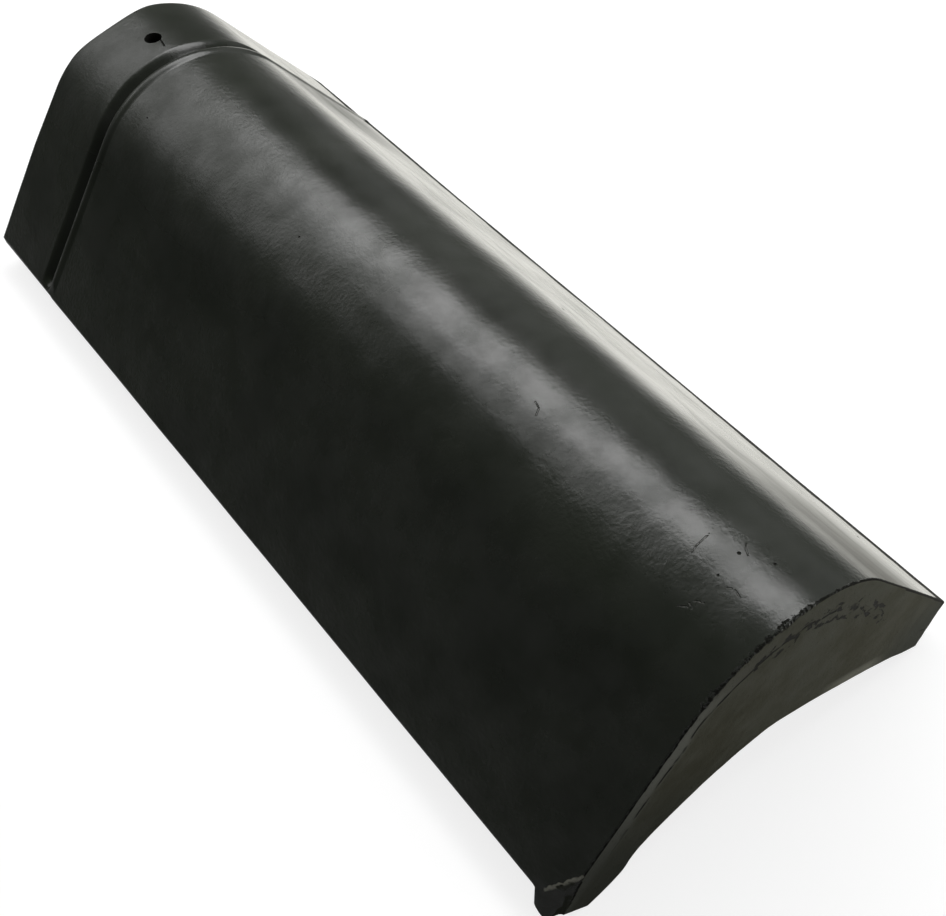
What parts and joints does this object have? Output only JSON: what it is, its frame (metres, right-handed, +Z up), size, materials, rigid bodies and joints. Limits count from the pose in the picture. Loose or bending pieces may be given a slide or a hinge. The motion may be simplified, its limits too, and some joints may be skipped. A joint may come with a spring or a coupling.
{
  "type": "ridge tile",
  "caption": "Closed-end concrete ridge tile: sloping wings under a round crown, an arched web across the near end and a grooved lap with a nail hole at the far end.",
  "frame": {"origin": "middle of the tile in plan, level with the lower edges of its feet", "axes": "+Y along the ridge from the closed end to the lap end, +Z up, +X across"},
  "size_m": [0.184, 0.42, 0.1009],
  "materials": {
    "coated_concrete": "satin black coating on the outside, bare grey concrete on the ends and underneath"
  },
  "bodies": {
    "root": {"ridge_tile": "coated_concrete"}
  },
  "joints": []
}
